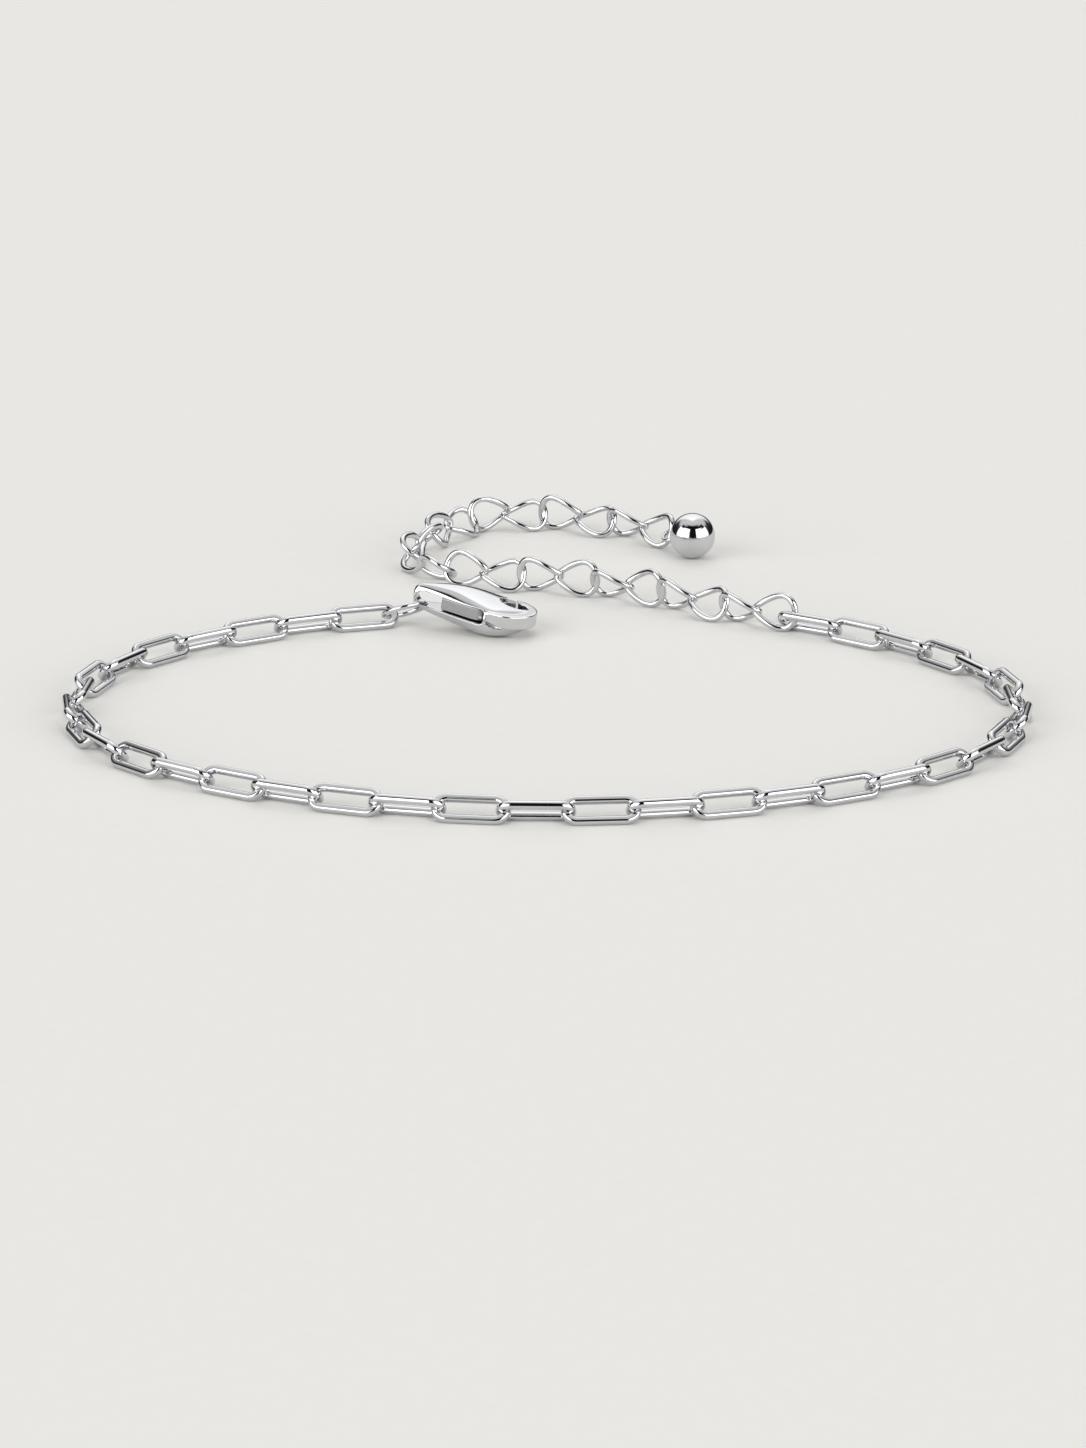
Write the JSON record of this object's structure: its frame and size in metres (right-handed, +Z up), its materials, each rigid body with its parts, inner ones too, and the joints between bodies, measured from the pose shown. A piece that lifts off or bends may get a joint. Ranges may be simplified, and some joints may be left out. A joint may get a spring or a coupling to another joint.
{
  "type": "paperclip chain bracelet",
  "caption": "Silver paperclip chain bracelet lying open in a loop, with a sprung lobster clasp at one end and an extender chain tipped by a ball at the other.",
  "frame": {"origin": "on the table that the bracelet lies on, under the middle of its bounding box", "axes": "+Z up from the table, +Y from the front of the loop towards the extender, +X to the right seen from the front"},
  "size_m": [0.064, 0.0752, 0.0033],
  "materials": {
    "silver": "polished bright silver"
  },
  "bodies": {
    "bracelet": {"link_01": "silver", "link_02": "silver", "link_03": "silver", "link_04": "silver", "link_05": "silver", "link_06": "silver", "link_07": "silver", "link_08": "silver", "link_09": "silver", "link_10": "silver", "link_11": "silver", "link_12": "silver", "link_13": "silver", "link_14": "silver", "link_15": "silver", "link_16": "silver", "link_17": "silver", "link_18": "silver", "link_19": "silver", "link_20": "silver", "link_21": "silver", "link_22": "silver", "link_23": "silver", "link_24": "silver", "link_25": "silver", "link_26": "silver", "link_27": "silver", "link_28": "silver", "link_29": "silver", "link_30": "silver", "link_31": "silver", "link_32": "silver", "link_33": "silver", "link_34": "silver", "link_35": "silver", "link_36": "silver", "clasp_ring": "silver", "clasp_body": "silver", "extender_chain": "silver", "end_ring": "silver", "end_ball": "silver"},
    "lever": {"clasp_lever": "silver"}
  },
  "joints": [
    {"name": "lever_hinge", "type": "hinge", "parent": "bracelet", "child": "lever", "pos_m": [-0.00616, 0.00854, 0.00149], "axis": [-0.0846, 0.0211, -0.9962], "range_deg": [0, 20], "stiffness_Nm_per_rad": 0.003, "springref_deg": -17.19}
  ]
}
